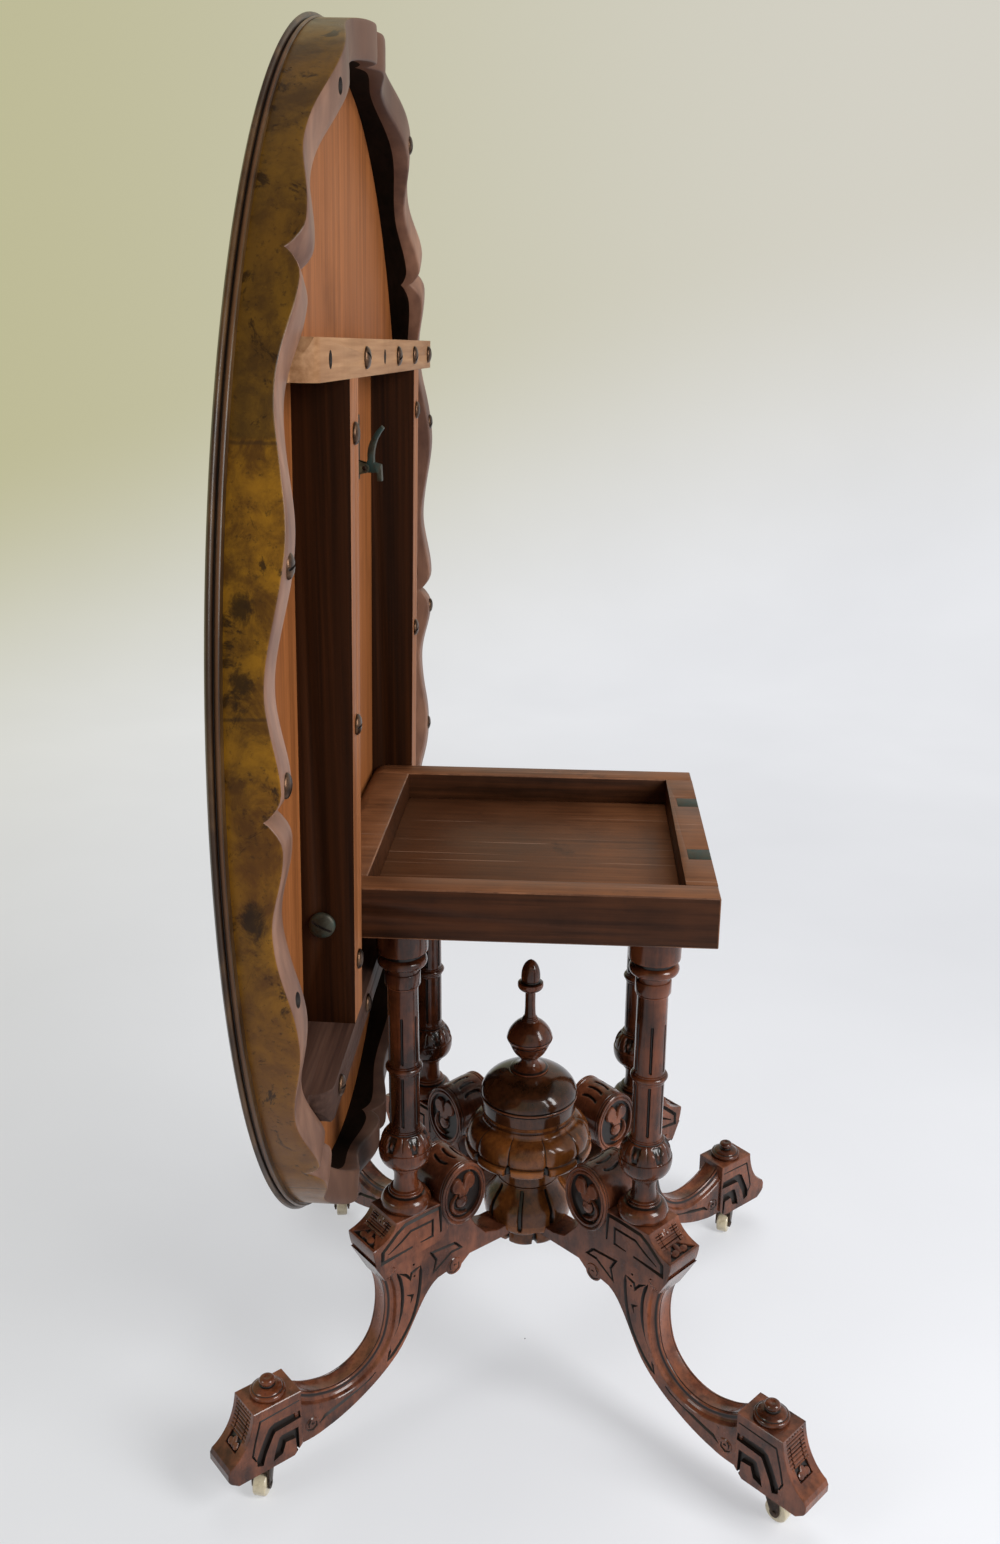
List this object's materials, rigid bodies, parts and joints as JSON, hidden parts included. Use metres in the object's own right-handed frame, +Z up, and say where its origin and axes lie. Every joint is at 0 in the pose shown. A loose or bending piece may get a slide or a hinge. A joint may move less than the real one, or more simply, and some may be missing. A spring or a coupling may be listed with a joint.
{
  "type": "oval tilt-top centre table",
  "caption": "Oval table whose moulded, serpentine-friezed top tips up on pivot bolts over a tray-topped block, turned fluted columns and carved scroll legs on castors.",
  "frame": {"origin": "on the floor under the middle of the base, which is also the bottom centre of the whole table's box with the top tipped up", "axes": "+Z up; +X from the tipped-up top across the block; +Y along the top's short axis, away from the viewer of the picture"},
  "size_m": [0.67, 1.048, 1.5097],
  "materials": {
    "walnut": "polished burr walnut veneer, worn",
    "pale_wood": "planed, unpolished",
    "mahogany": "carved and french polished, worn",
    "dark_iron": "dark, tarnished",
    "aged_brass": "tarnished, green in places",
    "ivory_ceramic": "glazed ceramic"
  },
  "bodies": {
    "base": {"block_rail_near": "mahogany", "block_rail_far": "mahogany", "block_rail_left": "mahogany", "block_rail_right": "mahogany", "block_panel": "mahogany", "keeper_plates": "aged_brass", "pivot_bolt_near": "dark_iron", "pivot_bolt_far": "dark_iron", "column_near_left": "mahogany", "column_near_right": "mahogany", "column_far_left": "mahogany", "column_far_right": "mahogany", "leg_near_left": "mahogany", "leg_near_right": "mahogany", "leg_far_left": "mahogany", "leg_far_right": "mahogany", "foot_boss_near_left": "mahogany", "foot_boss_near_right": "mahogany", "foot_boss_far_left": "mahogany", "foot_boss_far_right": "mahogany", "castor_plate_near_left": "dark_iron", "castor_plate_near_right": "dark_iron", "castor_plate_far_left": "dark_iron", "castor_plate_far_right": "dark_iron", "hub_vase": "mahogany", "lobed_skirt": "mahogany", "dome": "mahogany", "finial": "mahogany"},
    "top": {"top_board": "walnut", "rim_moulding": "walnut", "frieze": "walnut", "bearer_near": "pale_wood", "bearer_far": "pale_wood", "batten_upper": "pale_wood", "batten_lower": "pale_wood", "frieze_screws": "dark_iron", "bearer_screws": "dark_iron", "batten_screws": "dark_iron", "catch_plates": "aged_brass", "catch_pins": "dark_iron"},
    "catch_lever_near_body": {"catch_lever_near": "dark_iron"},
    "catch_lever_far_body": {"catch_lever_far": "dark_iron"},
    "fork_near_left": {"castor_fork_near_left": "dark_iron", "castor_axle_near_left": "dark_iron"},
    "wheel_near_left": {"castor_wheel_near_left": "ivory_ceramic"},
    "fork_near_right": {"castor_fork_near_right": "dark_iron", "castor_axle_near_right": "dark_iron"},
    "wheel_near_right": {"castor_wheel_near_right": "ivory_ceramic"},
    "fork_far_left": {"castor_fork_far_left": "dark_iron", "castor_axle_far_left": "dark_iron"},
    "wheel_far_left": {"castor_wheel_far_left": "ivory_ceramic"},
    "fork_far_right": {"castor_fork_far_right": "dark_iron", "castor_axle_far_right": "dark_iron"},
    "wheel_far_right": {"castor_wheel_far_right": "ivory_ceramic"}
  },
  "joints": [
    {"name": "top_tilt", "type": "hinge", "parent": "base", "child": "top", "pos_m": [-0.194, 0, 0.6853], "axis": [0, 1, 0], "range_deg": [0, 89]},
    {"name": "catch_near", "type": "hinge", "parent": "top", "child": "catch_lever_near_body", "pos_m": [-0.19498, -0.085, 1.08738], "axis": [0, -1, 0], "range_deg": [0, 20], "stiffness_Nm_per_rad": 0.4, "springref_deg": -17.19},
    {"name": "catch_far", "type": "hinge", "parent": "top", "child": "catch_lever_far_body", "pos_m": [-0.19498, 0.085, 1.08738], "axis": [0, -1, 0], "range_deg": [0, 20], "stiffness_Nm_per_rad": 0.4, "springref_deg": -17.19},
    {"name": "swivel_near_left", "type": "hinge", "parent": "base", "child": "fork_near_left", "pos_m": [-0.28017, -0.25226, 0.036], "axis": [0, 0, 1], "continuous": true},
    {"name": "roll_near_left", "type": "hinge", "parent": "fork_near_left", "child": "wheel_near_left", "pos_m": [-0.28111, -0.26121, 0.0135], "axis": [0.9945, -0.1045, 0], "continuous": true},
    {"name": "swivel_near_right", "type": "hinge", "parent": "base", "child": "fork_near_right", "pos_m": [0.28017, -0.25226, 0.036], "axis": [0, 0, 1], "continuous": true},
    {"name": "roll_near_right", "type": "hinge", "parent": "fork_near_right", "child": "wheel_near_right", "pos_m": [0.28706, -0.25805, 0.0135], "axis": [0.6428, 0.766, 0], "continuous": true},
    {"name": "swivel_far_left", "type": "hinge", "parent": "base", "child": "fork_far_left", "pos_m": [-0.28017, 0.25226, 0.036], "axis": [0, 0, 1], "continuous": true},
    {"name": "roll_far_left", "type": "hinge", "parent": "fork_far_left", "child": "wheel_far_left", "pos_m": [-0.2786, 0.2434, 0.0135], "axis": [0.9848, 0.1736, 0], "continuous": true},
    {"name": "swivel_far_right", "type": "hinge", "parent": "base", "child": "fork_far_right", "pos_m": [0.28017, 0.25226, 0.036], "axis": [0, 0, 1], "continuous": true},
    {"name": "roll_far_right", "type": "hinge", "parent": "fork_far_right", "child": "wheel_far_right", "pos_m": [0.27709, 0.2438, 0.0135], "axis": [0.9397, -0.342, 0], "continuous": true}
  ]
}
